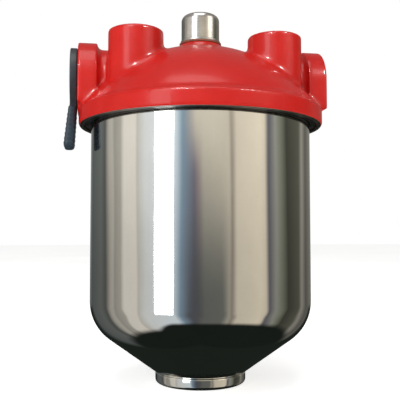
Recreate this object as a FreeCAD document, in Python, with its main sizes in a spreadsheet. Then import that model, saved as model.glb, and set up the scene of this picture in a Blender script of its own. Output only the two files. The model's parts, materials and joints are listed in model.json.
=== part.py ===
import FreeCAD, Part
import math
import os
import re

import Sketcher

# Magnetic system filter for heating pipework. Millimetres, +Z up.
# The origin is on the bowl's axis at the underside of the foot collar. The two
# ports open upwards, the inlet at -X and the outlet at +X, both forward (-Y) of
# the axis. Each port has a quarter-turn barrel valve whose axis runs along X.

DIMENSIONS = [
    ("foot_radius", 29), ("foot_height", 7.2), ("foot_edge", 2.5),
    ("bowl_radius", 71), ("bowl_wall", 1.5), ("cone_angle", 36), ("shoulder_radius", 29),
    ("socket_bore", 25), ("socket_top", 12.5), ("drain_radius", 16.62),
    ("drain_counterbore", 21.5), ("drain_seat", 5.5), ("drain_head", 4), ("drain_recess", 1),
    ("key_across", 12), ("key_depth", 7), ("plug_gap", 0.6), ("plug_edge", 0.8),
    ("drain_seal_gap", 0.15), ("drain_seal_inset", 0.7),
    ("flange_radius", 75.2), ("seat_height", 171), ("slip_thickness", 1),
    ("rim_edge", 1), ("mouth_chamfer", 0.6), ("cut_over", 2), ("thread_gap", 0.07),
    ("skirt_radius", 79), ("skirt_bottom", 164), ("skirt_top", 174), ("skirt_bore", 75.5),
    ("seal_inner", 70.2), ("seal_outer", 74.2), ("seal_depth", 2.2),
    ("ring_inner", 71.4), ("ring_gap", 0.08), ("ring_bottom", 164.6),
    ("pin_radius", 1.2), ("pin_depth", 2.4), ("washer_gap", 1.2),
    ("dome_centre", 126), ("dome_radius", 90.5), ("dome_wall", 8.5), ("dome_start", 176),
    ("neck_base", 17.5), ("neck_radius", 13.4), ("neck_top", 219.1), ("neck_waist", 215.5),
    ("hub_radius", 18), ("hub_bottom", 196),
    ("port_offset", 44), ("port_forward", 24), ("boss_radius", 17), ("boss_top", 219.5),
    ("boss_bottom", 180), ("port_radius", 13.22), ("port_depth", 15),
    ("valve_height", 194), ("housing_radius", 19), ("housing_end", 23),
    ("lug_face", 79.5), ("lug_thickness", 12), ("lug_radius", 23), ("lug_bottom", 175.5),
    ("barrel_radius", 13), ("barrel_inner", 28.1), ("barrel_outer", 65.8), ("turn_gap", 0.05),
    ("passage_radius", 8), ("passage_back", 20), ("column_radius", 12), ("column_bottom", 167),
    ("waterway_radius", 8.6), ("waterway_top", 188),
    ("ring_spacing", 12), ("groove_width", 2), ("groove_radius", 11.2),
    ("gland_radius", 16.45), ("gland_inner", 66), ("gland_seal_radius", 14.4),
    ("gland_seal_width", 2), ("spindle_radius", 6), ("spindle_seal_radius", 8),
    ("spindle_seal_start", 73), ("spindle_seal_width", 2.4), ("spanner_offset", 11),
    ("spanner_radius", 1.5), ("spanner_depth", 4),
    ("lever_gap", 0.4), ("lever_thickness", 4.4), ("lever_hub", 19.5), ("drive_size", 8),
    ("drive_length", 3.1), ("screw_radius", 2.05), ("screw_head", 6.5), ("screw_head_height", 1.3),
    ("screw_depth", 10), ("arm_half_width", 7.5), ("arm_bend", 175.5), ("arm_end", 150.4),
    ("arm_lean", 3), ("grip_half_width", 9.5), ("grip_top", 175.9), ("grip_end", 148.9),
    ("grip_inset", 0.1), ("grip_taper", 4), ("grip_outer_top", 5.6), ("grip_outer_end", 8.8),
    ("grip_inner_end", 2.1), ("screw_slot_depth", 0.8), ("screw_slot_half", 0.6),
    ("screw_spare", 1), ("spindle_slot_depth", 2), ("spindle_slot_half", 0.8),
    ("drive_shoulder", 0.2), ("spindle_sunk", 0.5), ("barrel_gap", 0.2), ("passage_over", 4),
    ("pocket_radius", 11), ("pocket_wall", 1), ("pocket_bottom", 45), ("pocket_flange", 13),
    ("pocket_base", 2), ("pocket_edge", 2.5), ("cap_edge", 4.2), ("cap_groove_half", 1),
    ("rod_overhang", 2),
    ("flange_thickness", 1.5), ("gasket_thickness", 1.2), ("gasket_radius", 13.8),
    ("nut_across", 30), ("nut_height", 7.5), ("washer_radius", 17), ("washer_thickness", 1.5),
    ("cap_radius", 12.5), ("cap_top", 239.4), ("cap_spigot", 9.9), ("spigot_length", 9),
    ("cap_ring_height", 216.5), ("cap_ring_section", 0.8), ("rod_radius", 3),
    ("magnet_radius", 9.2), ("magnet_height", 12), ("pole_radius", 9.4), ("pole_height", 3),
    ("stack_bottom", 56), ("rod_nut_across", 13), ("rod_nut_height", 4),
    ("strainer_radius", 54), ("strainer_wall", 1.5), ("strainer_bottom", 60),
    ("strainer_top", 158), ("plate_thickness", 3), ("plate_radius", 56),
    ("tube_radius", 8.55), ("tube_wall", 1.4), ("tube_top", 176),
    ("slot_height", 24), ("slot_width", 4), ("slot_pitch", 30), ("slot_first", 67),
    ("clip_radius", 13.5), ("clip_thickness", 1.2),
    ("bleed_back", 40), ("bleed_boss", 7.5), ("bleed_top", 212.5), ("bleed_bottom", 190),
    ("bleed_hole", 4.06),
    ("bleed_shank", 4), ("bleed_washer", 7), ("bleed_across", 11), ("bleed_head", 6),
    ("bleed_tip", 200),
]
MAGNETS = 9
STRAINER_SLOTS = 18
SPANNER_HOLES = 6
VALVE_TILT = -24
CLIP_ANGLE = 330
INLET = -1
OUTLET = 1
SIDE_NAMES = {INLET: "inlet", OUTLET: "outlet"}

doc = FreeCAD.newDocument("magnetic_filter")
dims = doc.addObject("Spreadsheet::Sheet", "dims")
for row, (alias, size) in enumerate(DIMENSIONS, start=1):
    dims.set(f"A{row}", alias)
    dims.set(f"B{row}", str(size))
    dims.setAlias(f"B{row}", alias)
doc.recompute()
nodes = {}


# ---------------------------------------------------------------- helpers
def bound(expression):
    """Name the sheet in front of every alias; aliases are the words with an underscore."""
    return re.sub(r"[a-z]+(?:_[a-z]+)+", r"dims.\g<0>", expression)


def number(expression):
    return float(dims.evalExpression(bound(expression)))


def bind(thing, prop, expression):
    thing.setExpression(prop, bound(expression))


def new_body(label):
    body = doc.addObject("PartDesign::Body", label)
    nodes[label] = body
    return body


def new_sketch(body, plane, origin=("0", "0", "0"), turn=0):
    """A sketch on one of the body's own planes; origin is along the sketch's x, y and normal."""
    sketch = body.newObject("Sketcher::SketchObject", f"{body.Name}_sketch")
    support = [item for item in body.Origin.OriginFeatures if item.Role == plane][0]
    sketch.AttachmentSupport = [(support, "")]
    sketch.MapMode = "FlatFace"
    shift = FreeCAD.Vector(*[number(item) for item in origin])
    sketch.AttachmentOffset = FreeCAD.Placement(shift, FreeCAD.Rotation(FreeCAD.Vector(0, 0, 1), turn))
    for axis, expression in zip("xyz", origin):
        bind(sketch, f"AttachmentOffset.Base.{axis}", expression)
    return sketch


def hold(sketch, piece, end, x, y):
    """Fix one point of a sketch at two expressions."""
    for kind, expression, axis in (("DistanceX", x, -2), ("DistanceY", y, -1)):
        size = number(expression)
        if abs(size) < 1e-9:
            sketch.addConstraint(Sketcher.Constraint("PointOnObject", piece, end, axis))
            continue
        index = sketch.addConstraint(Sketcher.Constraint(kind, -1, 1, piece, end, size))
        sketch.setExpression(f"Constraints[{index}]", bound(expression))


def outline(sketch, points):
    """A closed outline. A point is (x, y), or (x, y, radius) to leave it on an arc centred on
    the sketch's y axis that bulges away from the origin."""
    spots = [FreeCAD.Vector(number(point[0]), number(point[1]), 0) for point in points]
    ends = []
    for index, point in enumerate(points):
        start = spots[index]
        stop = spots[(index + 1) % len(spots)]
        if len(point) == 2:
            piece = sketch.addGeometry(Part.LineSegment(start, stop))
            ends.append((piece, 1, 2))
            continue
        radius = number(point[2])
        centre = FreeCAD.Vector(0, start.y - math.sqrt(radius ** 2 - start.x ** 2), 0)
        circle = Part.Circle(centre, FreeCAD.Vector(0, 0, 1), radius)
        first, last = (math.atan2(spot.y - centre.y, spot.x) for spot in (start, stop))
        piece = sketch.addGeometry(Part.ArcOfCircle(circle, min(first, last), max(first, last)))
        index = sketch.addConstraint(Sketcher.Constraint("Radius", piece, radius))
        sketch.setExpression(f"Constraints[{index}]", bound(point[2]))
        ends.append((piece, 1, 2) if first < last else (piece, 2, 1))
    for index, (piece, start_end, _) in enumerate(ends):
        before, _, stop_end = ends[index - 1]
        sketch.addConstraint(Sketcher.Constraint("Coincident", before, stop_end, piece, start_end))
        hold(sketch, piece, start_end, points[index][0], points[index][1])


def circles(sketch, places):
    """Circles given as (x, y, radius)."""
    for x, y, radius in places:
        middle = FreeCAD.Vector(number(x), number(y), 0)
        piece = sketch.addGeometry(Part.Circle(middle, FreeCAD.Vector(0, 0, 1), number(radius)))
        hold(sketch, piece, 3, x, y)
        index = sketch.addConstraint(Sketcher.Constraint("Radius", piece, number(radius)))
        sketch.setExpression(f"Constraints[{index}]", bound(radius))


def add_feature(body, kind, sketch):
    before = body.Shape.Volume if body.Tip else 0
    feature = body.newObject(f"PartDesign::{kind}", f"{body.Name}_{kind}")
    feature.Profile = sketch
    return feature, before


def check_cut(body, kind, before):
    """A cut that misses the solid fails silently, so the volume has to fall."""
    doc.recompute()
    if kind in ("Pocket", "Groove") and not body.Shape.Volume < before - 1e-3:
        raise RuntimeError(f"{body.Label}: a {kind} removed nothing")


def turned(body, points, kind="Revolution", plane="XZ_Plane", axis="V_Axis", origin=("0", "0", "0"),
           turn=0, angle=360):
    """Add (Revolution) or cut (Groove) a turned shape."""
    sketch = new_sketch(body, plane, origin, turn)
    outline(sketch, points)
    feature, before = add_feature(body, kind, sketch)
    feature.ReferenceAxis = (sketch, [axis])
    feature.Angle = angle
    sketch.Visibility = False
    check_cut(body, kind, before)


def raised(body, length, rounds=(), corners=None, kind="Pad", plane="XY_Plane",
           origin=("0", "0", "0"), flip=False, both_ways=False):
    """Add (Pad) or cut (Pocket) a straight shape."""
    sketch = new_sketch(body, plane, origin)
    circles(sketch, rounds)
    if corners:
        outline(sketch, corners)
    feature, before = add_feature(body, kind, sketch)
    bind(feature, "Length", length)
    feature.Reversed = flip
    feature.Midplane = both_ways
    sketch.Visibility = False
    check_cut(body, kind, before)
    return feature


def hexagon(across):
    """The corners of a hexagon centred on the sketch's origin."""
    half = f"({across}) / 2"
    quarter = f"({across}) / (2 * sqrt(3))"
    return [(half, f"-{quarter}"), (half, quarter), ("0", f"2 * {quarter}"),
            (f"-{half}", quarter), (f"-{half}", f"-{quarter}"), ("0", f"-2 * {quarter}")]


def box_outline(left, right, low, high):
    return [(left, low), (right, low), (right, high), (left, high)]


def edge_finish(body, kind, size, rims, axis_x="0", axis_y="0"):
    """Fillet or chamfer the circular edges at (radius, z) about an upright axis."""
    centre_x = number(axis_x)
    centre_y = number(axis_y)
    names = []
    for index, edge in enumerate(body.Shape.Edges, start=1):
        if not isinstance(edge.Curve, Part.Circle):
            continue
        middle = edge.Curve.Center
        if math.hypot(middle.x - centre_x, middle.y - centre_y) > 0.01:
            continue
        for radius, height in rims:
            if abs(edge.Curve.Radius - number(radius)) < 0.01 and abs(middle.z - number(height)) < 0.01:
                names.append(f"Edge{index}")
    if len(names) < len(rims):
        raise RuntimeError(f"{body.Label}: {len(names)} edges found for {len(rims)} rims")
    base = body.Tip
    feature = body.newObject(f"PartDesign::{kind}", f"{body.Name}_{kind}")
    feature.Base = (base, names)
    if kind == "Fillet":
        bind(feature, "Radius", size)
    else:
        bind(feature, "Size", size)
    body.Tip = feature
    doc.recompute()


def repeat_round(body, feature, count, axis="Z_Axis"):
    pattern = body.newObject("PartDesign::PolarPattern", f"{body.Name}_pattern")
    pattern.Originals = [feature]
    line = [item for item in body.Origin.OriginFeatures if item.Role == axis][0]
    pattern.Axis = (line, [""])
    pattern.Angle = 360
    pattern.Occurrences = count
    body.Tip = pattern
    doc.recompute()


def ring(label, inner, outer, low, high):
    """A plain turned ring on the upright axis."""
    body = new_body(label)
    turned(body, box_outline(inner, outer, low, high))
    return body


def solid_group(label, pieces):
    group = doc.addObject("Part::Compound", label)
    group.Links = pieces
    nodes[label] = group


def o_ring(name, middle, section, x="0", z="0", along_x=False):
    torus = doc.addObject("Part::Torus", name)
    bind(torus, "Radius1", middle)
    bind(torus, "Radius2", section)
    if along_x:
        torus.Placement.Rotation = FreeCAD.Rotation(FreeCAD.Vector(0, 1, 0), 90)
    bind(torus, "Placement.Base.x", x)
    bind(torus, "Placement.Base.z", z)
    return torus


# ---------------------------------------------------------------- head
def dome_height(radius, thickness="0"):
    """Height of the dome's skin at a radius, or of its inside at a wall thickness."""
    return f"dome_centre + sqrt((dome_radius - {thickness}) ^ 2 - ({radius}) ^ 2)"


def make_head():
    body = new_body("head_casting")
    inner = "sqrt((dome_radius - dome_wall) ^ 2 - (seat_height - dome_centre) ^ 2)"
    shoulder = "sqrt(dome_radius ^ 2 - (dome_start - dome_centre) ^ 2)"
    turned(body, [
        (inner, "seat_height"), ("skirt_bore", "seat_height"), ("skirt_bore", "skirt_bottom"),
        ("skirt_radius", "skirt_bottom"), ("skirt_radius", "skirt_top"),
        (shoulder, "dome_start", "dome_radius"), ("neck_base", dome_height("neck_base")),
        ("neck_base", "neck_waist"), ("neck_radius", "neck_top"),
        ("pocket_radius + turn_gap", "neck_top"), ("pocket_radius + turn_gap", "hub_bottom"),
        ("hub_radius", "hub_bottom"),
        ("hub_radius", dome_height("hub_radius", "dome_wall"), "dome_radius - dome_wall"),
    ])
    ports = [(f"{side} * port_offset", "-port_forward") for side in SIDE_NAMES]
    raised(body, "boss_top - boss_bottom", [(x, y, "boss_radius") for x, y in ports],
           origin=("0", "0", "boss_bottom"))
    raised(body, "valve_height - column_bottom",
           [(f"{side} * port_offset", "passage_back", "column_radius") for side in SIDE_NAMES],
           origin=("0", "0", "column_bottom"))
    raised(body, "bleed_top - bleed_bottom", [("0", "bleed_back", "bleed_boss")],
           origin=("0", "0", "bleed_bottom"))
    for side in SIDE_NAMES:
        add_valve_housing(body, side)
    raised(body, "port_depth", [(x, y, "port_radius") for x, y in ports], kind="Pocket",
           origin=("0", "0", "boss_top"))
    raised(body, "waterway_top - column_bottom",
           [(f"{side} * port_offset", "passage_back", "waterway_radius") for side in SIDE_NAMES],
           kind="Pocket", origin=("0", "0", "column_bottom"), flip=True)
    raised(body, "bleed_top - bleed_bottom + cut_over", [("0", "bleed_back", "bleed_hole")],
           kind="Pocket", origin=("0", "0", "bleed_top"))
    for side in SIDE_NAMES:
        cut_valve_bore(body, side)
    turned(body, box_outline("seal_inner", "seal_outer", "seat_height", "seat_height + seal_depth"),
           kind="Groove")
    edge_finish(body, "Fillet", "rim_edge", [("skirt_radius", "skirt_bottom")])
    edge_finish(body, "Chamfer", "mouth_chamfer", [("skirt_bore", "skirt_bottom")])
    for x, y in ports:
        edge_finish(body, "Fillet", "rim_edge", [("boss_radius", "boss_top")], x, y)
        edge_finish(body, "Chamfer", "mouth_chamfer", [("port_radius", "boss_top")], x, y)


def add_valve_housing(body, side):
    """The round housing of one barrel valve and the arched lug at its end."""
    start = "-lug_face" if side == INLET else "housing_end"
    raised(body, "lug_face - housing_end", [("0", "valve_height", "housing_radius")],
           plane="YZ_Plane", origin=("0", "0", start))
    lug = "-lug_face" if side == INLET else "lug_face - lug_thickness"
    raised(body, "lug_thickness", [("0", "valve_height", "lug_radius")], plane="YZ_Plane",
           origin=("0", "0", lug))
    raised(body, "lug_thickness", plane="YZ_Plane", origin=("0", "0", lug),
           corners=box_outline("-lug_radius", "lug_radius", "lug_bottom", "valve_height"))


def cut_valve_bore(body, side):
    """The stepped bore for barrel and gland, and the slanting passage across it."""
    turned(body, [
        (f"{side} * lug_face", "0"), (f"{side} * lug_face", "gland_radius + turn_gap"),
        (f"{side} * gland_inner", "gland_radius + turn_gap"),
        (f"{side} * gland_inner", "barrel_radius + turn_gap"),
        (f"{side} * (barrel_inner - barrel_gap)", "barrel_radius + turn_gap"),
        (f"{side} * (barrel_inner - barrel_gap)", "0"),
    ], kind="Groove", axis="H_Axis", origin=("0", "valve_height", "0"))
    turned(body, box_outline("-port_forward - passage_over", "passage_back", "0", "passage_radius"),
           kind="Groove", plane="YZ_Plane", axis="H_Axis",
           origin=("0", "valve_height", f"{side} * port_offset"), turn=VALVE_TILT)


# ---------------------------------------------------------------- valves
def make_barrel(side):
    """A barrel with its spindle, two ring grooves and the slanting waterway."""
    body = new_body(f"{SIDE_NAMES[side]}_barrel")
    spindle_end = "lug_face + drive_shoulder" if side == INLET else "lug_face - spindle_sunk"
    turned(body, [
        (f"{side} * barrel_inner", "0"), (f"{side} * barrel_inner", "barrel_radius"),
        (f"{side} * barrel_outer", "barrel_radius"), (f"{side} * barrel_outer", "spindle_radius"),
        (f"{side} * ({spindle_end})", "spindle_radius"), (f"{side} * ({spindle_end})", "0"),
    ], axis="H_Axis", origin=("0", "valve_height", "0"))
    for sign in (-1, 1):
        middle = f"{side} * port_offset + {sign} * ring_spacing"
        turned(body, box_outline(f"{middle} - groove_width / 2", f"{middle} + groove_width / 2",
                                 "groove_radius", "barrel_radius + cut_over"),
               kind="Groove", axis="H_Axis", origin=("0", "valve_height", "0"))
    turned(body, box_outline("-barrel_radius - cut_over", "barrel_radius + cut_over", "0",
                             "passage_radius"),
           kind="Groove", plane="YZ_Plane", axis="H_Axis",
           origin=("0", "valve_height", f"{side} * port_offset"), turn=VALVE_TILT)
    if side == INLET:
        add_drive_end(body, spindle_end)
    else:
        raised(body, "spindle_slot_depth", kind="Pocket", plane="YZ_Plane",
               origin=("0", "0", spindle_end),
               corners=box_outline("-spindle_radius - cut_over", "spindle_radius + cut_over",
                                   "valve_height - spindle_slot_half",
                                   "valve_height + spindle_slot_half"))
    rings = [o_ring(f"{body.Name}_ring_{index}", "(groove_radius + barrel_radius) / 2",
                    "(barrel_radius - groove_radius) / 2",
                    f"{side} * port_offset + {sign} * ring_spacing", "valve_height", True)
             for index, sign in enumerate((-1, 1))]
    solid_group(f"{SIDE_NAMES[side]}_barrel_seals", rings)


def add_drive_end(body, spindle_end):
    """The square that drives the barrel, tapped for the lever's screw."""
    half = "drive_size / 2"
    raised(body, "drive_length", plane="YZ_Plane", origin=("0", "0", f"-({spindle_end})"), flip=True,
           corners=box_outline(f"-{half}", half, f"valve_height - {half}", f"valve_height + {half}"))
    raised(body, "screw_depth + screw_spare", [("0", "valve_height", "screw_radius + turn_gap")],
           kind="Pocket", plane="YZ_Plane", origin=("0", "0", f"-({spindle_end} + drive_length)"),
           flip=True)


def make_gland(side):
    """The threaded plug that closes the valve bore, with its two seals."""
    name = SIDE_NAMES[side]
    body = new_body(f"{name}_gland")
    step = "gland_inner + gland_seal_width"
    bore = "spindle_radius + turn_gap"
    turned(body, [
        (f"{side} * lug_face", bore), (f"{side} * lug_face", "gland_radius"),
        (f"{side} * ({step})", "gland_radius"), (f"{side} * ({step})", "gland_seal_radius"),
        (f"{side} * gland_inner", "gland_seal_radius"), (f"{side} * gland_inner", bore),
    ], axis="H_Axis", origin=("0", "valve_height", "0"))
    seal_end = "spindle_seal_start + spindle_seal_width"
    groove = box_outline(f"{side} * spindle_seal_start", f"{side} * ({seal_end})", bore,
                         "spindle_seal_radius")
    turned(body, groove, kind="Groove", axis="H_Axis", origin=("0", "valve_height", "0"))
    raised(body, "spanner_depth", kind="Pocket", plane="YZ_Plane", flip=side == INLET,
           origin=("0", "0", f"{side} * lug_face"),
           rounds=[(f"{sign} * spanner_offset", "valve_height", "spanner_radius") for sign in (-1, 1)])
    spindle_seal = new_body(f"{name}_spindle_seal")
    turned(spindle_seal, groove, axis="H_Axis", origin=("0", "valve_height", "0"))
    gland_seal = new_body(f"{name}_gland_seal")
    turned(gland_seal, box_outline(f"{side} * gland_inner", f"{side} * ({step})",
                                   "gland_seal_radius", "gland_radius"),
           axis="H_Axis", origin=("0", "valve_height", "0"))


def arm_outline(low):
    """The lever's bent arm from the side, down to a height."""
    inner = "-(lug_face + lever_gap)"
    outer = "-(lug_face + lever_gap + lever_thickness)"
    lean = f"arm_lean * (arm_bend - ({low})) / (arm_bend - arm_end)"
    return [(inner, "valve_height - drive_size"), (outer, "valve_height - drive_size"),
            (outer, "arm_bend"), (f"{outer} - {lean}", low), (f"{inner} - {lean}", low),
            (inner, "arm_bend")]


def make_lever():
    """The quarter-turn lever: a round plate with a bent arm, a moulded grip and a flush screw."""
    face = "-(lug_face + lever_gap)"
    outside = "-(lug_face + lever_gap + lever_thickness)"
    half = "(drive_size / 2 + turn_gap)"
    plate = new_body("lever_plate")
    raised(plate, "lever_thickness", [("0", "valve_height", "lever_hub")], plane="YZ_Plane",
           origin=("0", "0", face), flip=True)
    raised(plate, "2 * arm_half_width", corners=arm_outline("arm_end"), plane="XZ_Plane",
           both_ways=True)
    raised(plate, "lever_thickness", kind="Pocket", plane="YZ_Plane", origin=("0", "0", face),
           corners=box_outline(f"-{half}", half, f"valve_height - {half}", f"valve_height + {half}"))
    raised(plate, "screw_head_height", [("0", "valve_height", "screw_head + turn_gap")],
           kind="Pocket", plane="YZ_Plane", origin=("0", "0", outside), flip=True)
    grip = new_body("lever_grip")
    raised(grip, "2 * grip_half_width", plane="XZ_Plane", both_ways=True, corners=[
        ("-(lug_face + lever_gap + grip_inset)", "grip_top"),
        ("-(lug_face + grip_outer_top)", "grip_top"), ("-(lug_face + grip_outer_end)", "grip_end"),
        ("-(lug_face + grip_inner_end)", "grip_end"),
        ("-(lug_face + lever_gap + grip_inset)", "arm_bend - grip_taper"),
    ])
    raised(grip, "2 * arm_half_width", kind="Pocket", corners=arm_outline("arm_end"),
           plane="XZ_Plane", both_ways=True)
    screw = new_body("lever_screw")
    turned(screw, [
        (outside, "0"), (outside, "screw_head"),
        (f"{outside} + screw_head_height", "screw_head"),
        (f"{outside} + screw_head_height", "screw_radius"),
        (f"{outside} + screw_head_height + screw_depth", "screw_radius"),
        (f"{outside} + screw_head_height + screw_depth", "0"),
    ], axis="H_Axis", origin=("0", "valve_height", "0"))
    raised(screw, "screw_slot_depth", plane="YZ_Plane", kind="Pocket", flip=True,
           origin=("0", "0", outside),
           corners=box_outline("-screw_head - cut_over", "screw_head + cut_over",
                               "valve_height - screw_slot_half", "valve_height + screw_slot_half"))


# ---------------------------------------------------------------- bowl
def make_bowl():
    """The deep-drawn bowl with its rolled flange and coned base."""
    body = new_body("bowl_shell")
    slope = "tan(cone_angle * 1deg)"
    corner = f"foot_height + (bowl_radius - foot_radius) * {slope}"
    lift = "bowl_wall / cos(cone_angle * 1deg)"
    inside = "bowl_radius - bowl_wall"
    inner_corner = f"foot_height + {lift} + ({inside} - foot_radius) * {slope}"
    turned(body, [
        ("socket_bore", "foot_height"), ("foot_radius", "foot_height"), ("bowl_radius", corner),
        ("bowl_radius", "seat_height - bowl_wall"), ("flange_radius", "seat_height - bowl_wall"),
        ("flange_radius", "seat_height"), (inside, "seat_height"), (inside, inner_corner),
        (f"foot_radius - ({lift} - bowl_wall) / {slope}", "foot_height + bowl_wall"),
        ("socket_bore", "foot_height + bowl_wall"),
    ])
    edge_finish(body, "Fillet", "shoulder_radius", [("bowl_radius", corner)])
    edge_finish(body, "Fillet", "shoulder_radius - bowl_wall", [(inside, inner_corner)])
    edge_finish(body, "Fillet", "bowl_wall / 2", [("bowl_radius", "seat_height - bowl_wall")])


def make_drain():
    """The foot collar and drain socket, its plug and the plug's seal."""
    socket = new_body("drain_socket")
    turned(socket, [
        ("drain_radius", "drain_seat"), ("drain_counterbore", "drain_seat"),
        ("drain_counterbore", "0"), ("foot_radius", "0"), ("foot_radius", "foot_height"),
        ("socket_bore", "foot_height"), ("socket_bore", "socket_top"),
        ("drain_radius", "socket_top"),
    ])
    edge_finish(socket, "Fillet", "foot_edge", [("foot_radius", "0")])
    edge_finish(socket, "Chamfer", "mouth_chamfer", [("drain_counterbore", "0")])
    plug = new_body("drain_plug")
    shank = "drain_radius - thread_gap"
    rim = "drain_counterbore - plug_gap"
    turned(plug, [("0", "drain_recess"), (rim, "drain_recess"), (rim, "drain_head"),
                  (shank, "drain_head"), (shank, "socket_top"), ("0", "socket_top")])
    raised(plug, "key_depth", corners=hexagon("key_across"), kind="Pocket",
           origin=("0", "0", "drain_recess"), flip=True)
    edge_finish(plug, "Chamfer", "plug_edge", [(rim, "drain_recess")])
    ring("drain_seal", "drain_radius + drain_seal_gap", "drain_counterbore - drain_seal_inset",
         "drain_head", "drain_seat")


def make_locking_ring():
    """The threaded ring that holds the bowl, its slip washer and the bowl's seal."""
    top = "seat_height - bowl_wall - slip_thickness"
    body = ring("locking_ring", "ring_inner", "skirt_bore - ring_gap", "ring_bottom", top)
    hole = raised(body, "pin_depth", [("(ring_inner + skirt_bore) / 2", "0", "pin_radius")],
                  kind="Pocket", origin=("0", "0", "ring_bottom"), flip=True)
    repeat_round(body, hole, SPANNER_HOLES)
    ring("slip_washer", "bowl_radius + washer_gap", "flange_radius", top, "seat_height - bowl_wall")
    ring("bowl_seal", "seal_inner", "seal_outer", "seat_height", "seat_height + seal_depth")


# ---------------------------------------------------------------- magnet and its dry pocket
def make_pocket():
    """The dry pocket, closed below, that keeps the magnet out of the water."""
    body = new_body("magnet_pocket")
    flange_low = "neck_top + gasket_thickness"
    inside = "pocket_radius - pocket_wall"
    turned(body, [
        ("0", "pocket_bottom"), ("pocket_radius", "pocket_bottom"), ("pocket_radius", flange_low),
        ("pocket_flange", flange_low), ("pocket_flange", f"{flange_low} + flange_thickness"),
        (inside, f"{flange_low} + flange_thickness"), (inside, "pocket_bottom + pocket_base"),
        ("0", "pocket_bottom + pocket_base"),
    ])
    edge_finish(body, "Fillet", "pocket_edge", [("pocket_radius", "pocket_bottom")])
    ring("pocket_gasket", "pocket_radius", "gasket_radius", "neck_top", flange_low)
    ring("pocket_washer", "pocket_radius", "washer_radius", "hub_bottom - washer_thickness",
         "hub_bottom")
    nut = new_body("pocket_nut")
    raised(nut, "nut_height", corners=hexagon("nut_across"),
           origin=("0", "0", "hub_bottom - washer_thickness - nut_height"))
    raised(nut, "nut_height", [("0", "0", "pocket_radius")], kind="Pocket",
           origin=("0", "0", "hub_bottom - washer_thickness"))


def make_magnet():
    """The cap, rod, magnets and pole pieces, which lift out as one."""
    seat = "neck_top + gasket_thickness + flange_thickness"
    spigot_end = f"{seat} - spigot_length"
    cap = new_body("magnet_cap")
    turned(cap, [("0", spigot_end), ("cap_spigot", spigot_end), ("cap_spigot", seat),
                 ("cap_radius", seat), ("cap_radius", "cap_top"), ("0", "cap_top")])
    turned(cap, box_outline("cap_spigot - 2 * cap_ring_section", "cap_spigot + cut_over",
                            "cap_ring_height - cap_groove_half",
                            "cap_ring_height + cap_groove_half"), kind="Groove")
    edge_finish(cap, "Fillet", "cap_edge", [("cap_radius", "cap_top")])
    nodes["cap_seal"] = o_ring("cap_seal", "cap_spigot - cap_ring_section + turn_gap",
                               "cap_ring_section", z="cap_ring_height")
    rod = new_body("magnet_rod")
    rod_end = "stack_bottom - rod_nut_height - rod_overhang"
    raised(rod, f"{spigot_end} - ({rod_end})", [("0", "0", "rod_radius")],
           origin=("0", "0", rod_end))
    ring_stack("magnets", MAGNETS, "magnet_radius", "magnet_height", "stack_bottom + pole_height")
    ring_stack("pole_pieces", MAGNETS + 1, "pole_radius", "pole_height", "stack_bottom")
    nut = new_body("rod_nut")
    raised(nut, "rod_nut_height", corners=hexagon("rod_nut_across"),
           origin=("0", "0", "stack_bottom - rod_nut_height"))
    raised(nut, "rod_nut_height", [("0", "0", "rod_radius")], kind="Pocket",
           origin=("0", "0", "stack_bottom"))


def ring_stack(label, count, radius, height, start):
    """Equal rings on the rod, one magnet and one pole piece apart."""
    pieces = []
    for index in range(count):
        base = f"{start} + {index} * (magnet_height + pole_height)"
        parts = []
        for name, size in (("disc", radius), ("hole", "rod_radius")):
            cylinder = doc.addObject("Part::Cylinder", f"{label}_{name}_{index}")
            bind(cylinder, "Radius", size)
            bind(cylinder, "Height", height)
            bind(cylinder, "Placement.Base.z", base)
            parts.append(cylinder)
        piece = doc.addObject("Part::Cut", f"{label}_{index}")
        piece.Base, piece.Tool = parts
        pieces.append(piece)
    solid_group(label, pieces)


# ---------------------------------------------------------------- strainer
def make_strainer():
    """The strainer hangs round the pocket; its outlet tube leads to the outlet valve."""
    bore = "pocket_radius + turn_gap"
    cap = ring("strainer_cap", bore, "plate_radius", "strainer_top", "strainer_top + plate_thickness")
    raised(cap, "tube_top - strainer_top", [("port_offset", "passage_back", "tube_radius")],
           origin=("0", "0", "strainer_top"))
    raised(cap, "tube_top - strainer_top", [("port_offset", "passage_back", "tube_radius - tube_wall")],
           kind="Pocket", origin=("0", "0", "tube_top"))
    tube = ring("strainer_tube", "strainer_radius - strainer_wall", "strainer_radius",
                "strainer_bottom", "strainer_top")
    for level in range(3):
        low = f"slot_first + {level} * slot_pitch"
        slot = raised(tube, "strainer_radius + cut_over", kind="Pocket", plane="YZ_Plane", flip=True,
                      corners=box_outline("-slot_width / 2", "slot_width / 2", low,
                                          f"{low} + slot_height"))
        repeat_round(tube, slot, STRAINER_SLOTS)
    ring("strainer_base", bore, "strainer_radius", "strainer_bottom - plate_thickness",
         "strainer_bottom")
    clip = new_body("strainer_clip")
    top = "strainer_bottom - plate_thickness"
    turned(clip, box_outline("pocket_radius", "clip_radius", f"{top} - clip_thickness", top),
           angle=CLIP_ANGLE)


# ---------------------------------------------------------------- bleed screw
def make_bleed():
    """The air bleed behind the neck, a hexagon-headed screw on a seal ring."""
    screw = new_body("bleed_screw")
    head_low = "bleed_top + gasket_thickness"
    raised(screw, f"{head_low} - bleed_tip", [("0", "0", "bleed_shank")],
           origin=("0", "0", "bleed_tip"))
    raised(screw, "bleed_head", corners=hexagon("bleed_across"), origin=("0", "0", head_low))
    screw.Placement.Base.y = number("bleed_back")
    bind(screw, "Placement.Base.y", "bleed_back")
    seal = ring("bleed_seal", "bleed_hole", "bleed_washer", "bleed_top", head_low)
    bind(seal, "Placement.Base.y", "bleed_back")


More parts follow.
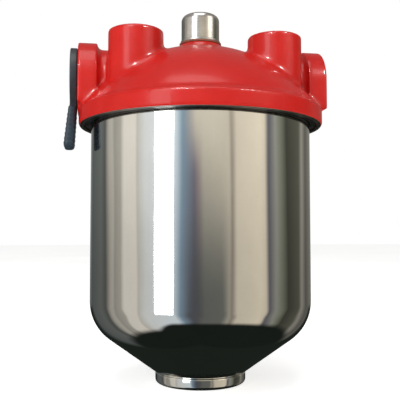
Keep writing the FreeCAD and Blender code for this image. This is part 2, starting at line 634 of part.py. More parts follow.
def check_and_write():
    doc.recompute()
    for item in doc.Objects:
        if {"Invalid", "Error"} & set(item.State):
            raise RuntimeError(f"{item.Name} failed: {item.State}")
    os.makedirs("parts", exist_ok=True)
    for label, item in nodes.items():
        shape = item.Shape
        if shape.isNull() or not shape.isValid() or shape.Volume <= 0:
            raise RuntimeError(f"{label} has no valid solid")
        shape.exportStep(f"parts/{label}.step")
        box = shape.BoundBox
        print(f"{label:22s} {len(shape.Solids)} solids {shape.Volume / 1000:8.2f} cm3  "
              f"x {box.XMin:.1f}..{box.XMax:.1f} y {box.YMin:.1f}..{box.YMax:.1f} "
              f"z {box.ZMin:.1f}..{box.ZMax:.1f}")


make_head()
for port_side in SIDE_NAMES:
    make_barrel(port_side)
    make_gland(port_side)
make_lever()
make_bowl()
make_drain()
make_locking_ring()
make_pocket()
make_magnet()
make_strainer()
make_bleed()
check_and_write()
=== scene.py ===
import json
import math

import bmesh
import bpy
import numpy as np
from mathutils import Matrix, Vector


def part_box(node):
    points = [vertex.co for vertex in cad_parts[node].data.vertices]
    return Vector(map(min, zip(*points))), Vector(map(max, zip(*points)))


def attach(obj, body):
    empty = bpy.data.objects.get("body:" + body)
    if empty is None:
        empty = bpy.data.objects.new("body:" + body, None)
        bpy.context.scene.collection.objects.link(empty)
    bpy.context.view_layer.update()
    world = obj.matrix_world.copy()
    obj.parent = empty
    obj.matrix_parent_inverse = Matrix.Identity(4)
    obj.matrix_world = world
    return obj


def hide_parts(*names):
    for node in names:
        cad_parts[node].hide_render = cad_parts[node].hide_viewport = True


# The looks of a magnetic system filter: red cast head, polished steel bowl, nickel
# magnet cap and a black quarter-turn lever. Sizes are in metres, worked out from the frame.

MM = 0.001
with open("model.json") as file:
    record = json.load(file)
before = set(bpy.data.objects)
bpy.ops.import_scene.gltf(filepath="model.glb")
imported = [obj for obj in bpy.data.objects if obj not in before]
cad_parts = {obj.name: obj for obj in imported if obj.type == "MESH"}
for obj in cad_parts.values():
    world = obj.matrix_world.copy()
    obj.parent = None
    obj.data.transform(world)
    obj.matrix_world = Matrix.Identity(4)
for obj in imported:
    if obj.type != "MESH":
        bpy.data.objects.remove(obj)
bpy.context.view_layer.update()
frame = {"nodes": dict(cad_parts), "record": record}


# ---------------------------------------------------------------- sizes read from the frame
def low(node):
    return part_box(node)[0]


def high(node):
    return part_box(node)[1]


def mount(name):
    return next(item for item in frame["record"]["mounts"] if item["name"] == name)


PORTS = {side: mount(f"{side}_port") for side in ("inlet", "outlet")}
PORT_RADIUS = PORTS["inlet"]["dims"]["r_mm"] * MM
BOWL_TOP = high("bowl_shell").z
BOWL_FOOT = low("bowl_shell").z
FLANGE_RADIUS = high("bowl_shell").x
FOOT_RADIUS = high("drain_socket").x
SKIRT_BOTTOM = low("head_casting").z
VALVE_HEIGHT = (low("inlet_gland").z + high("inlet_gland").z) / 2
LUG_FACE = high("outlet_gland").x
LEVER_FACE = high("lever_plate").x
LEVER_TOP = high("lever_plate").z

# Sizes that no node's box gives.
SKIRT_BORE = 75.7 * MM
SKIRT_EDGE = 78.2 * MM
BOWL_RADIUS = 71 * MM
WALL = 1.5 * MM
CONE_ANGLE = math.radians(36)
SOCKET_BORE = 25 * MM
DRAIN_BORE = 16.62 * MM
CAP_RADIUS = 12.5 * MM
SPIGOT_RADIUS = 9.9 * MM
LEVER_THICKNESS = 4.4 * MM
ARM_HALF = 7.5 * MM
ARM_LEAN = 3.0 * MM
BEND_HEIGHT = 175.5 * MM
GRIP_HALF = 9.5 * MM


# ---------------------------------------------------------------- node trees
class Nodes:
    """A node tree with short calls for the nodes used here."""

    def __init__(self, tree):
        self.tree = tree

    def node(self, kind, inputs=None, **settings):
        made = self.tree.nodes.new(kind)
        for key, value in settings.items():
            setattr(made, key, value)
        for key, value in (inputs or {}).items():
            self.feed(made.inputs[key], value)
        return made

    def feed(self, socket, value):
        """Link an output to the socket, or set its value; a colour is (r, g, b)."""
        if isinstance(value, bpy.types.NodeSocket):
            self.tree.links.new(value, socket)
        elif socket.type == "RGBA":
            socket.default_value = (*value, 1)
        else:
            socket.default_value = value

    def ramp(self, value, stops):
        made = self.node("ShaderNodeValToRGB", {"Fac": value})
        elements = made.color_ramp.elements
        while len(elements) < len(stops):
            elements.new(0.5)
        for element, (spot, colour) in zip(elements, stops):
            element.position = spot
            element.color = (*colour, 1)
        return made.outputs["Color"]

    def span(self, value, from_low, from_high, to_low=0, to_high=1, kind="LINEAR"):
        limits = {"Value": value, "From Min": from_low, "From Max": from_high,
                  "To Min": to_low, "To Max": to_high}
        return self.node("ShaderNodeMapRange", limits, interpolation_type=kind).outputs["Result"]

    def mix(self, share, first, second):
        """Mix two colours. The node keeps its colour sockets at 6 and 7, its result at 2."""
        return self.node("ShaderNodeMix", {0: share, 6: first, 7: second}, data_type="RGBA").outputs[2]

    def maths(self, operation, *values):
        return self.node("ShaderNodeMath", dict(enumerate(values)), operation=operation).outputs[0]


class Shader(Nodes):
    """A material's node tree."""

    def __init__(self, name):
        self.material = bpy.data.materials.new(name)
        self.material.use_nodes = True
        super().__init__(self.material.node_tree)
        self.main = self.tree.nodes["Principled BSDF"]
        self.place = self.node("ShaderNodeTexCoord").outputs["Object"]

    def noise(self, scale, detail=3, stretch=(1, 1, 1), rough=0.55):
        scaled = self.node("ShaderNodeMapping", {"Vector": self.place, "Scale": stretch}).outputs[0]
        return self.node("ShaderNodeTexNoise", {"Vector": scaled, "Scale": scale, "Detail": detail,
                                                "Roughness": rough}).outputs["Fac"]

    def pointiness(self):
        """Above a half on sharp outside edges, below it in inside corners."""
        return self.node("ShaderNodeNewGeometry").outputs["Pointiness"]

    def bump(self, height, depth, before=None):
        """Raise the surface by height times depth, over an earlier bump if one is given."""
        inputs = {"Height": height, "Distance": depth, "Strength": 1.0}
        if before is not None:
            inputs["Normal"] = before
        return self.node("ShaderNodeBump", inputs).outputs["Normal"]

    def finish(self, **inputs):
        for key, value in inputs.items():
            self.feed(self.main.inputs[key.replace("_", " ")], value)
        return self.material


# ---------------------------------------------------------------- materials
def red_enamel():
    """Glossy red paint with an orange-peel skin, paler on edges, with painted shade darkening its inside
    corners.
    """
    shade = Shader("red_enamel")
    flow = shade.noise(28, 4)
    peel = shade.noise(620, 2)
    dust = shade.noise(240, 5, rough=0.7)
    colour = shade.ramp(flow, [(0.3, (0.51, 0.009, 0.006)), (0.7, (0.59, 0.013, 0.009))])
    point = shade.pointiness()
    # Paler red on sharp outside edges.
    paler_edges = shade.span(point, 0.56, 0.66, 0, 0.35)
    colour = shade.mix(paler_edges, colour, (0.66, 0.055, 0.045))
    # Painted shade: the red darkens in inside corners, where shade falls.
    painted_corner_shade = shade.span(point, 0.41, 0.30, 0, 0.5)
    colour = shade.mix(painted_corner_shade, colour, (0.22, 0.004, 0.004))
    normal = shade.bump(flow, 0.4 * MM, shade.bump(peel, 0.06 * MM))
    return shade.finish(Base_Color=colour, Roughness=shade.span(dust, 0.3, 0.75, 0.30, 0.42),
                        Coat_Weight=0.28, Coat_Roughness=0.15, Normal=normal, Specular_IOR_Level=0.14)


def polished_steel():
    """Deep-drawn and polished: drawn streaks, a slow ripple and a few smears."""
    shade = Shader("polished_steel")
    streak = shade.noise(260, 4, (1, 1, 0.03))
    ripple = shade.noise(9, 2, (1, 1, 0.45))
    smear = shade.noise(42, 5, (1, 1, 0.6), 0.65)
    colour = shade.ramp(smear, [(0.3, (0.80, 0.79, 0.76)), (0.72, (0.88, 0.87, 0.84))])
    rough = shade.maths("ADD", shade.span(streak, 0.35, 0.7, 0.025, 0.06),
                        shade.span(smear, 0.52, 0.75, 0.0, 0.05))
    normal = shade.bump(streak, 0.004 * MM, shade.bump(ripple, 1.1 * MM))
    return shade.finish(Base_Color=colour, Metallic=1.0, Roughness=rough, Normal=normal)


def turned_metal(name, dark, light, rough_low, rough_high, line=0.02 * MM, axis_x=False):
    """Machined metal: fine rings round its axis, with a little staining."""
    shade = Shader(name)
    stretch = (1, 0.02, 0.02) if axis_x else (0.02, 0.02, 1)
    rings = shade.noise(2600, 2, stretch)
    stain = shade.noise(120, 4)
    colour = shade.ramp(stain, [(0.3, dark), (0.7, light)])
    rough = shade.span(rings, 0.3, 0.7, rough_low, rough_high)
    return shade.finish(Base_Color=colour, Metallic=1.0, Roughness=rough,
                        Normal=shade.bump(rings, line))


def moulded(name, dark, light, rough, grain=0.04 * MM):
    """Moulded plastic or rubber with a fine spark-eroded grain."""
    shade = Shader(name)
    fine = shade.noise(1500, 3)
    broad = shade.noise(70, 4)
    colour = shade.ramp(broad, [(0.3, dark), (0.72, light)])
    return shade.finish(Base_Color=colour, Roughness=shade.span(broad, 0.3, 0.7, rough, rough + 0.14),
                        Normal=shade.bump(fine, grain))


def coated_steel():
    """Charcoal powder coat, lighter on its sharp edges."""
    shade = Shader("charcoal_coat")
    fine = shade.noise(900, 3)
    broad = shade.noise(55, 4)
    colour = shade.ramp(broad, [(0.3, (0.018, 0.021, 0.026)), (0.7, (0.034, 0.040, 0.048))])
    # Lighter grey on sharp outside edges.
    lighter_edges = shade.span(shade.pointiness(), 0.54, 0.64, 0, 0.6)
    colour = shade.mix(lighter_edges, colour, (0.11, 0.12, 0.13))
    return shade.finish(Base_Color=colour, Roughness=shade.span(fine, 0.3, 0.7, 0.38, 0.55),
                        Normal=shade.bump(fine, 0.05 * MM))


def woven_mesh():
    """The strainer's fine mesh, as close raised bands round the tube."""
    shade = Shader("strainer_mesh")
    wires = shade.node("ShaderNodeTexWave", {"Vector": shade.place, "Scale": 420.0}, bands_direction="Z")
    tint = shade.noise(90, 3)
    colour = shade.ramp(tint, [(0.3, (0.42, 0.42, 0.41)), (0.7, (0.58, 0.58, 0.56))])
    return shade.finish(Base_Color=colour, Metallic=1.0, Roughness=0.35,
                        Normal=shade.bump(wires.outputs["Fac"], 0.2 * MM))


LOOKS = {
    "red": red_enamel(),
    "bowl": polished_steel(),
    "cap": turned_metal("turned_nickel", (0.60, 0.57, 0.53), (0.74, 0.71, 0.67), 0.2, 0.27,
                        line=0.004 * MM),
    "steel": turned_metal("satin_steel", (0.50, 0.50, 0.49), (0.64, 0.64, 0.62), 0.28, 0.42),
    "black_steel": turned_metal("black_steel", (0.045, 0.045, 0.05), (0.09, 0.09, 0.1), 0.3, 0.5),
    "bare_cast": turned_metal("machined_casting", (0.36, 0.36, 0.35), (0.55, 0.54, 0.52), 0.3, 0.46),
    # Painted shade: a darker copy of the machined casting, for the skirt's rim that sits in shade.
    "shade_darkened_cast": turned_metal("shade_darkened_casting", (0.24, 0.22, 0.20), (0.34, 0.32, 0.29), 0.36, 0.5),
    "brass": turned_metal("machined_brass", (0.66, 0.45, 0.19), (0.80, 0.59, 0.29), 0.32, 0.46,
                          axis_x=True),
    "rubber": moulded("black_rubber", (0.012, 0.012, 0.012), (0.03, 0.03, 0.031), 0.55),
    "fibre": moulded("brown_fibre", (0.20, 0.075, 0.04), (0.31, 0.13, 0.075), 0.6),
    "slip": moulded("natural_plastic", (0.60, 0.60, 0.56), (0.72, 0.72, 0.69), 0.4),
    "moulding": moulded("black_moulding", (0.02, 0.02, 0.022), (0.04, 0.04, 0.044), 0.42),
    "grip": moulded("blue_black_grip", (0.012, 0.024, 0.036), (0.026, 0.046, 0.064), 0.36,
                    grain=0.06 * MM),
    "coat": coated_steel(),
    "mesh": woven_mesh(),
    "nickel": turned_metal("plated_nickel", (0.62, 0.62, 0.60), (0.74, 0.74, 0.72), 0.1, 0.22),
}
# The CAD nodes that stay as they are, by look; the ones not listed are rubber seals.
NODE_LOOKS = {
    "brass": ["inlet_gland", "outlet_gland", "inlet_barrel", "outlet_barrel", "drain_plug"],
    "steel": ["magnet_pocket", "pocket_nut", "rod_nut", "magnet_rod", "pole_pieces", "strainer_clip"],
    "black_steel": ["locking_ring", "bleed_screw", "lever_screw"],
    "nickel": ["magnets"],
    "mesh": ["strainer_tube"],
    "moulding": ["strainer_cap", "strainer_base"],
    "slip": ["slip_washer"],
    "fibre": ["pocket_washer", "pocket_gasket"],
}


def dress_nodes():
    """Give every CAD node that stays its own procedural material."""
    looks = {name: look for look, names in NODE_LOOKS.items() for name in names}
    for name, thing in frame["nodes"].items():
        thing.data.materials.clear()
        thing.data.materials.append(LOOKS[looks.get(name, "rubber")])


# ---------------------------------------------------------------- mesh helpers
def add_object(name, mesh, body, look, replaced=()):
    thing = bpy.data.objects.new(name, mesh)
    bpy.context.scene.collection.objects.link(thing)
    mesh.materials.clear()
    mesh.materials.append(LOOKS[look])
    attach(thing, body)
    if replaced:
        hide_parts(*replaced)
    return thing


def finished(builder, name, angle=35):
    """Turn what was built into a mesh, shaded smooth but for edges sharper than angle."""
    bmesh.ops.recalc_face_normals(builder, faces=builder.faces)
    mesh = bpy.data.meshes.new(name)
    builder.to_mesh(mesh)
    builder.free()
    mesh.polygons.foreach_set("use_smooth", [True] * len(mesh.polygons))
    mesh.set_sharp_from_angle(angle=math.radians(angle))
    return mesh


def rounded(points, radii, steps=6):
    """A closed (r, z) outline with its corners rounded; radii are per corner."""
    made = []
    count = len(points)
    for index, (point, radius) in enumerate(zip(points, radii)):
        here = Vector(point)
        if radius <= 0:
            made.append(here)
            continue
        before = (Vector(points[index - 1]) - here).normalized()
        after = (Vector(points[(index + 1) % count]) - here).normalized()
        half = before.angle(after) / 2
        reach = radius / math.tan(half)
        centre = here + (before + after).normalized() * (radius / math.sin(half))
        first = here + before * reach - centre
        last = here + after * reach - centre
        sweep = first.angle_signed(last)
        for step in range(steps + 1):
            turn = Matrix.Rotation(-sweep * step / steps, 2)
            made.append(centre + turn @ first)
    return made


def lathe(outline, segments=192):
    """Turn a closed (r, z) outline round Z into a closed mesh."""
    on_axis = MM / 10000
    builder = bmesh.new()
    turns = [2 * math.pi * step / segments for step in range(segments)]
    rings = []
    for radius, height in outline:
        if radius < on_axis:
            rings.append([builder.verts.new((0, 0, height))])
            continue
        rings.append([builder.verts.new((radius * math.cos(turn), radius * math.sin(turn), height))
                      for turn in turns])
    for index, ring in enumerate(rings):
        after = rings[(index + 1) % len(rings)]
        if len(ring) == 1 and len(after) == 1:
            continue
        for step in range(segments):
            nxt = (step + 1) % segments
            corners = [ring[step % len(ring)], ring[nxt % len(ring)],
                       after[nxt % len(after)], after[step % len(after)]]
            builder.faces.new(list(dict.fromkeys(corners)))
    return finished(builder, "turned")


def skinned(sections, name, angle):
    """Join a row of closed sections, each with as many points, and close both ends."""
    builder = bmesh.new()
    rows = [[builder.verts.new(spot) for spot in section] for section in sections]
    for before, after in zip(rows, rows[1:]):
        for index in range(len(before)):
            nxt = (index + 1) % len(before)
            builder.faces.new((before[index], before[nxt], after[nxt], after[index]))
    builder.faces.new(rows[0])
    builder.faces.new(rows[-1])
    return finished(builder, name, angle)


def plate(outline, thickness, bevel):
    """A flat closed outline in (y, z), given thickness along X and rounded edges."""
    builder = bmesh.new()
    face = builder.faces.new([builder.verts.new((0, y, z)) for y, z in outline])
    moved = bmesh.ops.extrude_face_region(builder, geom=[face])["geom"]
    for item in moved:
        if isinstance(item, bmesh.types.BMVert):
            item.co.x += thickness
    bmesh.ops.recalc_face_normals(builder, faces=builder.faces)
    rims = [edge for edge in builder.edges
            if abs(edge.verts[0].co.x - edge.verts[1].co.x) < thickness / 2]
    bmesh.ops.bevel(builder, geom=rims, offset=bevel, segments=3, affect="EDGES", profile=0.5)
    return finished(builder, "plate")


# ---------------------------------------------------------------- cast head
def casting_mesh():
    """The head's mesh, remeshed finely so that its corners can be softened."""
    source = frame["nodes"]["head_casting"]
    work = bpy.data.objects.new("work", source.data.copy())
    bpy.context.scene.collection.objects.link(work)
    work.data.transform(source.matrix_world)
    remesh = work.modifiers.new("remesh", "REMESH")
    remesh.mode = "VOXEL"
    remesh.voxel_size = 0.9 * MM
    graph = bpy.context.evaluated_depsgraph_get()
    mesh = bpy.data.meshes.new_from_object(work.evaluated_get(graph))
    bpy.data.objects.remove(work)
    return mesh


def soften(mesh, fill_steps):
    """Fill the inside corners as a casting's fillets do, and ease all edges a little."""
    ease, fill = 0.5, 0.6
    fresh_normals = 8
    count = len(mesh.vertices)
    spots = np.empty(count * 3)
    mesh.vertices.foreach_get("co", spots)
    spots = spots.reshape(-1, 3)
    edges = np.empty(len(mesh.edges) * 2, dtype=np.int64)
    mesh.edges.foreach_get("vertices", edges)
    first, second = edges.reshape(-1, 2).T
    degree = np.bincount(np.concatenate((first, second)), minlength=count)[:, None]

    def pull():
        """From each vertex to the middle of its neighbours."""
        total = np.empty_like(spots)
        for axis in range(3):
            total[:, axis] = (np.bincount(first, spots[second, axis], count)
                              + np.bincount(second, spots[first, axis], count))
        return total / degree - spots

    def write_back():
        mesh.vertices.foreach_set("co", spots.ravel())
        mesh.update()

    def normals():
        write_back()
        found = np.empty(count * 3)
        mesh.vertex_normals.foreach_get("vector", found)
        return found.reshape(-1, 3)

    spots += ease * pull()
    free = casting_skin(spots)
    for step in range(fill_steps):
        if step % fresh_normals == 0:
            outward = normals()
        move = pull()
        lift = np.einsum("ij,ij->i", move, outward)
        spots += fill * np.where(lift > 0, free, 0)[:, None] * move
    spots += ease * pull()
    write_back()


def casting_skin(spots):
    """1 on the outside cast skin, falling to 0 at the bores, the lugs' faces and the skirt's rim."""
    margin = 2 * MM
    rim_height = 8 * MM
    neck_bore = 15 * MM

    def beyond(distance, limit):
        return np.clip((distance - limit) / MM, 0, 1)

    free = beyond(spots[:, 2], SKIRT_BOTTOM + rim_height)
    free *= beyond(LUG_FACE - margin, np.abs(spots[:, 0]))
    free *= beyond(np.hypot(spots[:, 0], spots[:, 1]), neck_bore)
    for port in PORTS.values():
        x, y, _ = port["pos_m"]
        away = np.hypot(spots[:, 0] - x, spots[:, 1] - y)
        free *= beyond(away, PORT_RADIUS + margin)
    return free


def make_head():
    mesh = casting_mesh()
    soften(mesh, 22)
    mesh.polygons.foreach_set("use_smooth", [True] * len(mesh.polygons))
    add_object("cast_head", mesh, "head", "red", ["head_casting"])
    # The skirt's machined rim gets the darker casting, painted shade under the skirt.
    lip = 0.1 * MM
    base, top = SKIRT_BOTTOM - lip, SKIRT_BOTTOM + MM
    corners = [(SKIRT_BORE, base), (SKIRT_EDGE, base), (SKIRT_EDGE, top), (SKIRT_BORE, top)]
    face = lathe(rounded(corners, [lip] * 4, 3))
    add_object("skirt_machined_face", face, "head", "shade_darkened_cast")


def thread_mesh(radius, depth, pitch, top, length):
    """An internal thread: a ridge wound down the wall of a bore, closed at both ends."""
    per_turn = 72
    fade_steps = 24
    root_half, crest_half = 0.46 * pitch, 0.09 * pitch
    buried = radius + 0.1 * MM
    steps = int(length / pitch * per_turn)
    sections = []
    for step in range(steps + 1):
        turn = 2 * math.pi * step / per_turn
        height = top - pitch * step / per_turn
        fade = min(1, step / fade_steps, (steps - step) / fade_steps)
        crest = radius - depth * (0.15 + 0.85 * fade)
        corners = [(buried, -root_half), (crest, -crest_half), (crest, crest_half), (buried, root_half)]
        sections.append([(r * math.cos(turn), r * math.sin(turn), height + offset)
                         for r, offset in corners])
    return skinned(sections, "thread", 50)


def make_ports():
    """Each port's machined bore with its parallel pipe thread (14 threads per inch)."""
    pitch = 25.4 / 14 * MM
    depth = 1.16 * MM
    top = high("head_casting").z
    mouth = top + 0.06 * MM
    inner = PORT_RADIUS - 0.02 * MM
    for side, port in PORTS.items():
        x, y, _ = port["pos_m"]
        length = port["dims"]["length_mm"] * MM
        ridge = thread_mesh(PORT_RADIUS, depth, pitch, top - 1.3 * MM, length - 3 * MM)
        wall = lathe([(inner, top - length), (PORT_RADIUS + 0.5 * MM, top - length),
                      (PORT_RADIUS + 1.1 * MM, mouth), (PORT_RADIUS + 0.6 * MM, mouth),
                      (inner, top - 0.6 * MM)])
        for name, mesh in ((f"{side}_port_thread", ridge), (f"{side}_port_bore", wall)):
            mesh.transform(Matrix.Translation((x, y, 0)))
            add_object(name, mesh, "head", "bare_cast")


# ---------------------------------------------------------------- bowl and foot
def make_bowl():
    slope = math.tan(CONE_ANGLE)
    thick = WALL / math.cos(CONE_ANGLE)
    corner = BOWL_FOOT + (BOWL_RADIUS - FOOT_RADIUS) * slope
    inner = BOWL_RADIUS - WALL
    inner_corner = BOWL_FOOT + thick + (inner - FOOT_RADIUS) * slope
    inner_foot = FOOT_RADIUS - (thick - WALL) / slope
    points = [(SOCKET_BORE, BOWL_FOOT), (FOOT_RADIUS, BOWL_FOOT), (BOWL_RADIUS, corner),
              (BOWL_RADIUS, BOWL_TOP - WALL), (FLANGE_RADIUS, BOWL_TOP - WALL),
              (FLANGE_RADIUS, BOWL_TOP), (inner, BOWL_TOP), (inner, inner_corner),
              (inner_foot, BOWL_FOOT + WALL), (SOCKET_BORE, BOWL_FOOT + WALL)]
    shoulder = 29 * MM
    radii = [0, 1.2 * MM, shoulder, 0.7 * MM, 0.6 * MM, 0.6 * MM, 1.2 * MM, shoulder - WALL, 0, 0]
    mesh = lathe(rounded(points, radii, 20), 256)
    add_object("polished_bowl", mesh, "bowl", "bowl", ["bowl_shell"])


def make_foot():
    """The collar under the bowl, chamfered where it meets the cone, with a recessed socket."""
    base = low("drain_socket").z
    top = high("drain_socket").z
    seat = low("drain_seal").z + 1.5 * MM
    rim = 21.5 * MM
    points = [(DRAIN_BORE, seat), (rim, seat), (rim, base), (FOOT_RADIUS, base),
              (FOOT_RADIUS, BOWL_FOOT - 0.9 * MM), (FOOT_RADIUS - 0.7 * MM, BOWL_FOOT),
              (SOCKET_BORE, BOWL_FOOT), (SOCKET_BORE, top), (DRAIN_BORE, top)]
    radii = [0, 0, 0.6 * MM, 2.5 * MM, 0.3 * MM, 0.2 * MM, 0, 0.3 * MM, 0.3 * MM]
    mesh = lathe(rounded(points, radii, 8))
    add_object("foot_collar", mesh, "bowl", "bowl", ["drain_socket"])


# ---------------------------------------------------------------- magnet cap
def make_cap():
    """A stub with a shallow dish in its top, and a spigot with a groove for its O-ring."""
    top = high("magnet_cap").z
    bottom = low("magnet_cap").z
    seat = high("magnet_pocket").z
    groove = (low("cap_seal").z + high("cap_seal").z) / 2
    groove_floor = SPIGOT_RADIUS - 1.6 * MM
    dish = top - 0.5 * MM
    points = [(0, bottom), (SPIGOT_RADIUS, bottom), (SPIGOT_RADIUS, groove - MM),
              (groove_floor, groove - MM), (groove_floor, groove + MM), (SPIGOT_RADIUS, groove + MM),
              (SPIGOT_RADIUS, seat), (CAP_RADIUS, seat), (CAP_RADIUS, top),
              (CAP_RADIUS - 5.2 * MM, top), (CAP_RADIUS - 5.8 * MM, dish), (0, dish)]
    radii = [0, 0.4 * MM, 0, 0, 0, 0, 0, 0.3 * MM, 4.2 * MM, 0.3 * MM, 0.2 * MM, 0]
    mesh = lathe(rounded(points, radii, 12))
    add_object("turned_cap", mesh, "magnet", "cap", ["magnet_cap"])


# ---------------------------------------------------------------- lever
def lever_outline(bottom):
    """A round hub on the valve's axis with an arm below it, joined by short shoulders."""
    hub_steps, arm_steps, tip_steps = 40, 14, 12
    shoulder_width, shoulder_drop = 3 * MM, 1.5 * MM
    hub = LEVER_TOP - VALVE_HEIGHT
    reach = math.asin((ARM_HALF + shoulder_width) / hub)
    points = []
    for step in range(hub_steps + 1):
        turn = -math.pi / 2 + reach + (2 * math.pi - 2 * reach) * step / hub_steps
        points.append((hub * math.cos(turn), VALVE_HEIGHT + hub * math.sin(turn)))
    shoulder = VALVE_HEIGHT - hub - shoulder_drop
    tip = bottom + ARM_HALF
    side = [(-ARM_HALF, shoulder + (tip - shoulder) * step / arm_steps) for step in range(arm_steps)]
    end = []
    for step in range(tip_steps + 1):
        turn = math.pi + math.pi * step / tip_steps
        end.append((ARM_HALF * math.cos(turn), tip + ARM_HALF * math.sin(turn)))
    return points + side + end + [(-y, z) for y, z in reversed(side)]


def make_lever():
    end = low("lever_plate").z
    arm = plate(lever_outline(end), LEVER_THICKNESS, 0.5 * MM)
    for vertex in arm.vertices:
        drop = max(0, BEND_HEIGHT - vertex.co.z)
        vertex.co.x += LEVER_FACE - LEVER_THICKNESS - ARM_LEAN * drop / (BEND_HEIGHT - end)
    add_object("lever_arm", arm, "inlet_valve", "coat", ["lever_plate"])
    make_grip()


def quarter_round(run):
    """The height of a quarter circle: 0 where run is 0, 1 from 1 onwards."""
    return math.sqrt(1 - (1 - min(1, run)) ** 2)


def make_grip():
    """The moulded sleeve: a rounded bar with shallow grip ribs, narrowed at both ends."""
    top = high("lever_grip").z
    bottom = low("lever_grip").z
    levels, top_levels, end_levels = 44, 3, 5
    top_ease, end_ease, end_thickness = 0.75, 0.7, 0.55
    ribs, rib_depth, ribbed = 9, 0.12 * MM, (0.15, 0.9)
    inner_gap, inner_lean = 0.5 * MM, 1.6 * MM
    outer_gap, outer_lean = 5.6 * MM, 3.2 * MM
    side_gap = 0.3 * MM
    sections = []
    for level in range(levels + 1):
        share = level / levels
        ease = min(top_ease + (1 - top_ease) * quarter_round(level / top_levels),
                   end_ease + (1 - end_ease) * quarter_round((levels - level) / end_levels))
        thinned = end_thickness + (1 - end_thickness) * (ease - end_ease) / (1 - end_ease)
        rib = rib_depth * math.cos(2 * math.pi * share * ribs) if ribbed[0] < share < ribbed[1] else 0
        inner = -(LUG_FACE + inner_gap + inner_lean * share)
        outer = -(LUG_FACE + outer_gap + outer_lean * share)
        half_x = (inner - outer) / 2 * thinned + rib
        half_y = GRIP_HALF * ease - side_gap + rib
        height = top + (bottom - top) * share
        sections.append(bar_section((inner + outer) / 2, half_x, half_y, height))
    mesh = skinned(sections, "grip", 50)
    add_object("lever_sleeve", mesh, "inlet_valve", "grip", ["lever_grip"])


def bar_section(middle, half_x, half_y, height, steps=6):
    """A rounded rectangle at one height of the grip."""
    corner = min(half_x, half_y) * 0.75
    points = []
    for quarter, (sx, sy) in enumerate(((1, 1), (-1, 1), (-1, -1), (1, -1))):
        for step in range(steps + 1):
            turn = math.pi / 2 * (quarter + step / steps)
            points.append((middle + sx * (half_x - corner) + corner * math.cos(turn),
                           sy * (half_y - corner) + corner * math.sin(turn), height))
    return points


# ---------------------------------------------------------------- studio
def make_floor():
    size = 6.0
    mesh = bpy.data.meshes.new("floor")
    mesh.from_pydata([(-size, -size, 0), (size, -size, 0), (size, size, 0), (-size, size, 0)], [],
                     [(0, 1, 2, 3)])
    floor = bpy.data.objects.new("floor", mesh)
    bpy.context.scene.collection.objects.link(floor)
    shade = Shader("pale_floor")
    tone = shade.ramp(shade.noise(3, 3), [(0.3, (0.86, 0.86, 0.855)), (0.7, (0.9, 0.9, 0.895))])
    mesh.materials.append(shade.finish(Base_Color=tone, Roughness=0.85, Emission_Color=tone,
                                       Emission_Strength=0.76))
    floor.visible_glossy = False


# The camera stands in front of the filter, a little left of it and below its middle.
# It looks upwards by its pitch and turns towards +X by its heading, in degrees.
CAMERA_PLACE = Vector((-66.6, -420.5, 93.9)) * MM
CAMERA_HEADING = 8.973
CAMERA_PITCH = 3.1


def make_camera():
    data = bpy.data.cameras.new("camera")
    data.lens = 58.5
    data.sensor_width = 36
    data.clip_start = 0.01
    camera = bpy.data.objects.new("camera", data)
    camera.location = CAMERA_PLACE
    camera.rotation_euler = (math.radians(90 + CAMERA_PITCH), 0, -math.radians(CAMERA_HEADING))
    bpy.context.scene.collection.objects.link(camera)
    bpy.context.scene.camera = camera


def make_light(name, azimuth, elevation, distance, width, height, power, tint=(1, 1, 1)):
    """A soft box aimed at the filter. Azimuth is from -Y, positive towards +X."""
    data = bpy.data.lights.new(name, "AREA")
    data.shape = "RECTANGLE"
    data.size = width
    data.size_y = height
    data.energy = power
    data.color = tint
    light = bpy.data.objects.new(name, data)
    turn, lift = math.radians(azimuth), math.radians(elevation)
    aim = Vector((0, 0, 0.12))
    away = Vector((math.sin(turn) * math.cos(lift), -math.cos(turn) * math.cos(lift), math.sin(lift)))
    light.location = aim + away * distance
    light.rotation_euler = (-away).to_track_quat("-Z", "Y").to_euler()
    bpy.context.scene.collection.objects.link(light)
    return light


# The room that the polished steel reflects: tones by direction, from behind on the left,
# through the front, to behind on the right. Each is (share of a turn, colour).
ROOM_BANDS = [
    (0.00, (0.30, 0.30, 0.29)), (0.045, (0.22, 0.23, 0.23)), (0.09, (0.08, 0.09, 0.09)),
    (0.165, (0.12, 0.13, 0.125)), (0.19, (0.08, 0.085, 0.08)), (0.21, (0.38, 0.36, 0.32)),
    (0.225, (0.42, 0.40, 0.36)), (0.235, (0.30, 0.29, 0.26)), (0.262, (0.38, 0.36, 0.32)),
    (0.272, (0.66, 0.63, 0.57)), (0.315, (0.68, 0.64, 0.58)), (0.322, (0.50, 0.48, 0.44)),
    (0.345, (0.64, 0.66, 0.66)), (0.43, (0.66, 0.74, 0.79)), (0.448, (0.20, 0.29, 0.37)),
    (0.475, (0.17, 0.16, 0.20)), (0.49, (0.32, 0.27, 0.26)), (0.505, (0.46, 0.43, 0.36)),
    (0.575, (0.54, 0.49, 0.40)), (0.583, (0.28, 0.24, 0.20)), (0.598, (0.60, 0.54, 0.44)),
    (0.675, (0.70, 0.63, 0.50)), (0.688, (0.64, 0.57, 0.45)), (0.70, (0.10, 0.10, 0.12)),
    (0.725, (0.27, 0.27, 0.24)), (0.745, (0.17, 0.18, 0.14)), (0.77, (0.05, 0.05, 0.04)),
    (0.83, (0.09, 0.09, 0.07)), (0.85, (0.26, 0.25, 0.22)), (0.88, (0.10, 0.095, 0.085)),
    (0.96, (0.24, 0.235, 0.20)), (1.00, (0.30, 0.30, 0.29)),
]
ROOM_DARK_FRONT = (0.045, 0.06, 0.065)
ROOM_PALE_FRONT = (0.56, 0.52, 0.43)
ROOM_FLOOR = (0.010, 0.013, 0.011)
ROOM_LOW_BEHIND = (0.012, 0.016, 0.013)
ROOM_CEILING = (0.30, 0.29, 0.28)
ROOM_LIGHT = (0.30, 0.30, 0.30)
BACKDROP = (1.0, 1.0, 1.0)


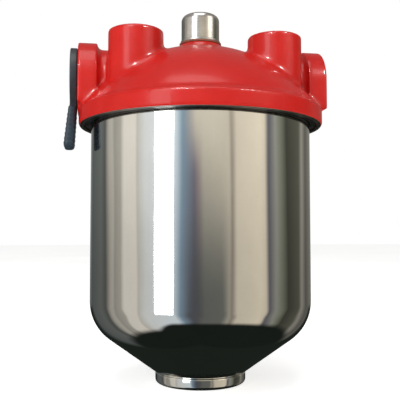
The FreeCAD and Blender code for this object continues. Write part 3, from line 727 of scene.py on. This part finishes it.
def room_direction(sky, place):
    """A direction's share of a turn, measured from straight behind, with a slow wander."""
    split = sky.node("ShaderNodeSeparateXYZ", {"Vector": place}).outputs
    turn = sky.maths("ARCTAN2", split["X"], sky.maths("MULTIPLY", split["Y"], -1.0))
    share = sky.maths("ADD", sky.maths("DIVIDE", turn, 2 * math.pi), 0.5 + CAMERA_HEADING / 360)
    noise = sky.node("ShaderNodeTexNoise", {"Vector": place, "Scale": 2.2, "Detail": 1.0})
    wander = sky.maths("MULTIPLY", sky.maths("SUBTRACT", noise.outputs["Fac"], 0.5), 0.035)
    return sky.maths("FRACT", sky.maths("ADD", share, wander))


def room_tone(sky, share, height):
    """The room's bands, changed by height in the front, behind, below and above."""
    def product(first, second):
        return sky.maths("MULTIPLY", first, second)

    def over(value, start, end):
        return sky.span(value, start, end, kind="SMOOTHSTEP")

    def under(value, start, end):
        return sky.maths("SUBTRACT", 1.0, over(value, start, end))

    tone = sky.ramp(share, ROOM_BANDS)
    front_share = 0.52
    from_front = sky.maths("ABSOLUTE", sky.maths("SUBTRACT", share, front_share))
    front = over(from_front, 0.075, 0.035)
    low_front = product(under(height, -0.13, 0.13), front)
    tone = sky.mix(product(low_front, 0.8), tone, ROOM_DARK_FRONT)
    tone = sky.mix(product(over(height, 0.06, 0.16), front), tone, ROOM_PALE_FRONT)
    lit = sky.maths("ADD", 0.88, product(over(height, -0.13, 0.18), 0.36))
    shaded = sky.node("ShaderNodeVectorMath", {0: tone, "Scale": lit}, operation="SCALE").outputs[0]
    left_lift = product(over(share, 0.42, 0.34), 0.17)
    floor_edge = over(sky.maths("ADD", height, left_lift), -0.62, -0.50)
    tone = sky.mix(floor_edge, ROOM_FLOOR, shaded)
    from_back = sky.maths("SUBTRACT", 0.5, sky.maths("ABSOLUTE", sky.maths("SUBTRACT", share, 0.5)))
    low_behind = product(under(height, -0.16, -0.10), over(from_back, 0.11, 0.07))
    tone = sky.mix(low_behind, tone, ROOM_LOW_BEHIND)
    return sky.mix(over(height, 0.25, 0.6), tone, ROOM_CEILING)


def make_world():
    """The room in reflections, an even grey as light and a white backdrop to the camera."""
    world = bpy.data.worlds.new("studio")
    bpy.context.scene.world = world
    world.use_nodes = True
    sky = Nodes(world.node_tree)
    place = sky.node("ShaderNodeTexCoord").outputs["Generated"]
    height = sky.node("ShaderNodeSeparateXYZ", {"Vector": place}).outputs["Z"]
    room = room_tone(sky, room_direction(sky, place), height)
    ray = sky.node("ShaderNodeLightPath").outputs
    seen = sky.mix(ray["Is Glossy Ray"], ROOM_LIGHT, room)
    seen = sky.mix(ray["Is Camera Ray"], seen, BACKDROP)
    background = sky.tree.nodes["Background"]
    sky.feed(background.inputs["Color"], seen)
    sky.feed(background.inputs["Strength"], 1.0)


def make_highlights():
    """Two small lamps seen only as highlights on the red casting's gloss."""
    head_only = bpy.data.collections.new("head_only")
    head_only.objects.link(bpy.data.objects["cast_head"])
    for name, azimuth, power in (("left_spot", -26, 13), ("right_spot", 38, 9)):
        spot = make_light(name, azimuth, elevation=38, distance=1.2, width=0.07, height=0.10,
                          power=power)
        spot.visible_diffuse = False
        spot.light_linking.receiver_collection = head_only


def make_studio():
    make_floor()
    make_camera()
    make_world()
    make_light("window", azimuth=-44, elevation=12, distance=1.6, width=0.55, height=1.7, power=12,
               tint=(0.95, 0.98, 1.0))
    make_light("overhead", azimuth=-20, elevation=70, distance=1.4, width=0.9, height=0.9, power=9)
    make_light("fill", azimuth=55, elevation=30, distance=1.8, width=0.9, height=0.9, power=4,
               tint=(1.0, 0.96, 0.9))
    make_highlights()
    bpy.context.scene.view_settings.view_transform = "Standard"


dress_nodes()
make_head()
make_ports()
make_bowl()
make_foot()
make_cap()
make_lever()
make_studio()
